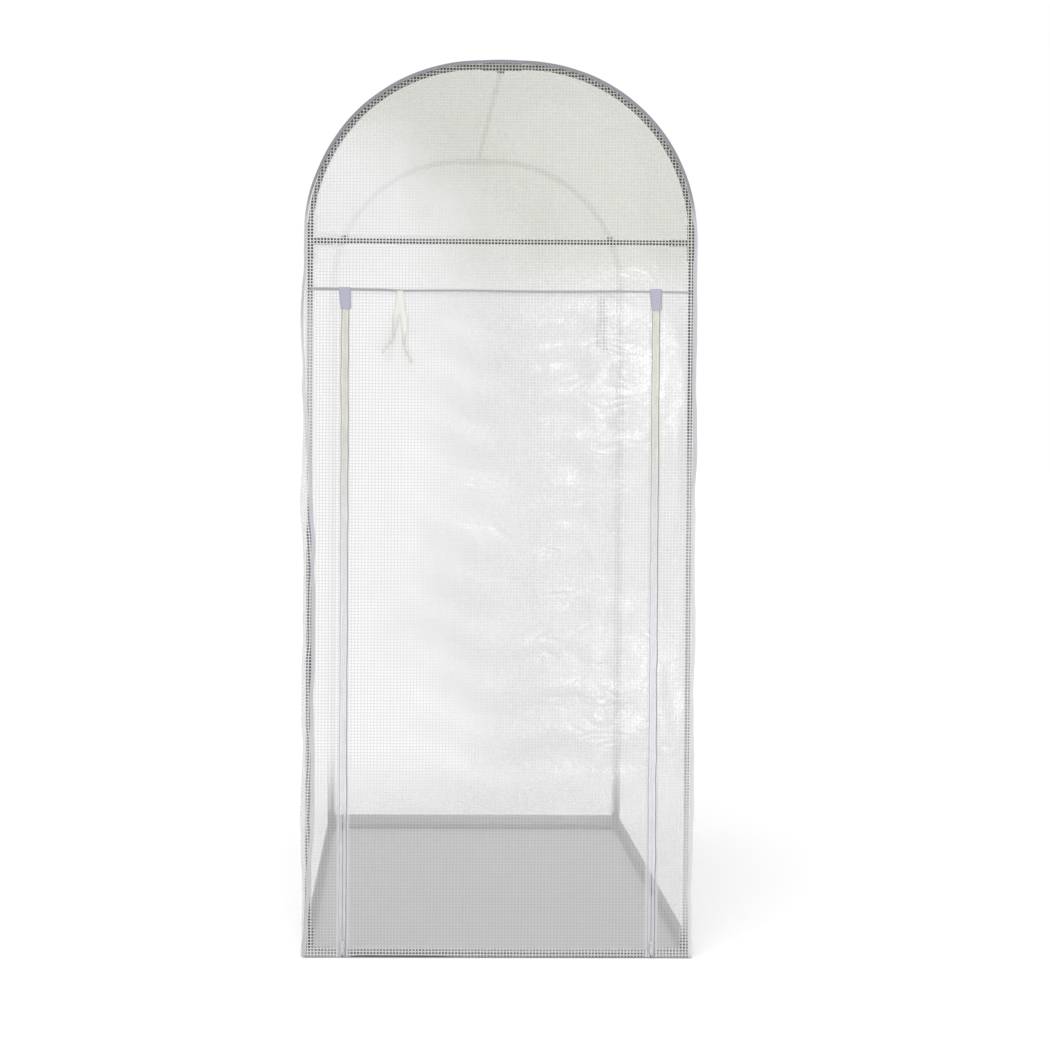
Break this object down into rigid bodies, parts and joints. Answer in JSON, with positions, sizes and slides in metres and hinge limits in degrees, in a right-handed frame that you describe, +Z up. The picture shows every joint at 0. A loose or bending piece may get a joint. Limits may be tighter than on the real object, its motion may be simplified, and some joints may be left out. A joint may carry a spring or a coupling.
{
  "type": "frost protection tent",
  "caption": "Walk-in frost protection tent for potted plants: arched push-fit tube frame under a grid-reinforced film cover, with a zipped roll-up door and a ground sheet.",
  "frame": {"origin": "on the ground under the middle of the cover", "axes": "+Z up, front with the door towards -Y, +X to the right as seen from the front"},
  "size_m": [1, 1.0041, 2.3],
  "materials": {
    "tube_steel": "satin",
    "connector_plastic": "matte",
    "cover_film": "satin",
    "ground_sheet": "matte",
    "seam_tape": "matte",
    "zip_tape": "matte",
    "zip_metal": "satin",
    "tie_cotton": "matte"
  },
  "bodies": {
    "tent": {"apex_connector_front": "connector_plastic", "apex_connector_rear": "connector_plastic", "arch_connector_front_left": "connector_plastic", "arch_connector_front_right": "connector_plastic", "arch_connector_rear_left": "connector_plastic", "arch_connector_rear_right": "connector_plastic", "arch_tube_front_left": "tube_steel", "arch_tube_front_right": "tube_steel", "arch_tube_rear_left": "tube_steel", "arch_tube_rear_right": "tube_steel", "base_rail_front": "tube_steel", "base_rail_left": "tube_steel", "base_rail_rear": "tube_steel", "base_rail_right": "tube_steel", "corner_connector_front_left": "connector_plastic", "corner_connector_front_right": "connector_plastic", "corner_connector_rear_left": "connector_plastic", "corner_connector_rear_right": "connector_plastic", "crossbar_front": "tube_steel", "crossbar_rear": "tube_steel", "floor_sheet": "ground_sheet", "front_gable_panel": "cover_film", "front_jamb_left": "cover_film", "front_jamb_right": "cover_film", "front_seam_binding": "seam_tape", "header_seam_binding": "seam_tape", "jamb_zip_tape_left": "zip_tape", "jamb_zip_tape_right": "zip_tape", "rear_panel": "cover_film", "rear_seam_binding": "seam_tape", "ridge_pole": "tube_steel", "roof_sheet": "cover_film", "side_wall_left": "cover_film", "side_wall_right": "cover_film", "tie_tape_left": "tie_cotton", "tie_tape_right": "tie_cotton", "upright_front_left_lower": "tube_steel", "upright_front_left_upper": "tube_steel", "upright_front_right_lower": "tube_steel", "upright_front_right_upper": "tube_steel", "upright_rear_left_lower": "tube_steel", "upright_rear_left_upper": "tube_steel", "upright_rear_right_lower": "tube_steel", "upright_rear_right_upper": "tube_steel", "zip_top_tab_left": "seam_tape", "zip_top_tab_right": "seam_tape"},
    "door": {"door_panel": "cover_film", "door_bottom_hem": "cover_film", "door_zip_tape_left": "zip_tape", "door_zip_tape_right": "zip_tape"},
    "slider_left": {"zip_slider_left": "zip_metal"},
    "slider_right": {"zip_slider_right": "zip_metal"},
    "pull_left": {"zip_pull_left": "zip_metal"},
    "pull_right": {"zip_pull_right": "zip_metal"}
  },
  "joints": [
    {"name": "door_roll", "type": "slide", "parent": "tent", "child": "door", "axis": [0, 0, 1], "range_m": [0, 1.53], "deforming": ["door_panel", "door_zip_tape_left", "door_zip_tape_right"]},
    {"name": "zip_slide_left", "type": "slide", "parent": "tent", "child": "slider_left", "axis": [0, 0, 1], "range_m": [0, 1.6125]},
    {"name": "pull_flip_left", "type": "hinge", "parent": "slider_left", "child": "pull_left", "pos_m": [-0.398, -0.50185, 0.036], "axis": [-1, 0, 0], "range_deg": [0, 150]},
    {"name": "zip_slide_right", "type": "slide", "parent": "tent", "child": "slider_right", "axis": [0, 0, 1], "range_m": [0, 1.6125]},
    {"name": "pull_flip_right", "type": "hinge", "parent": "slider_right", "child": "pull_right", "pos_m": [0.398, -0.50185, 0.036], "axis": [-1, 0, 0], "range_deg": [0, 150]}
  ]
}
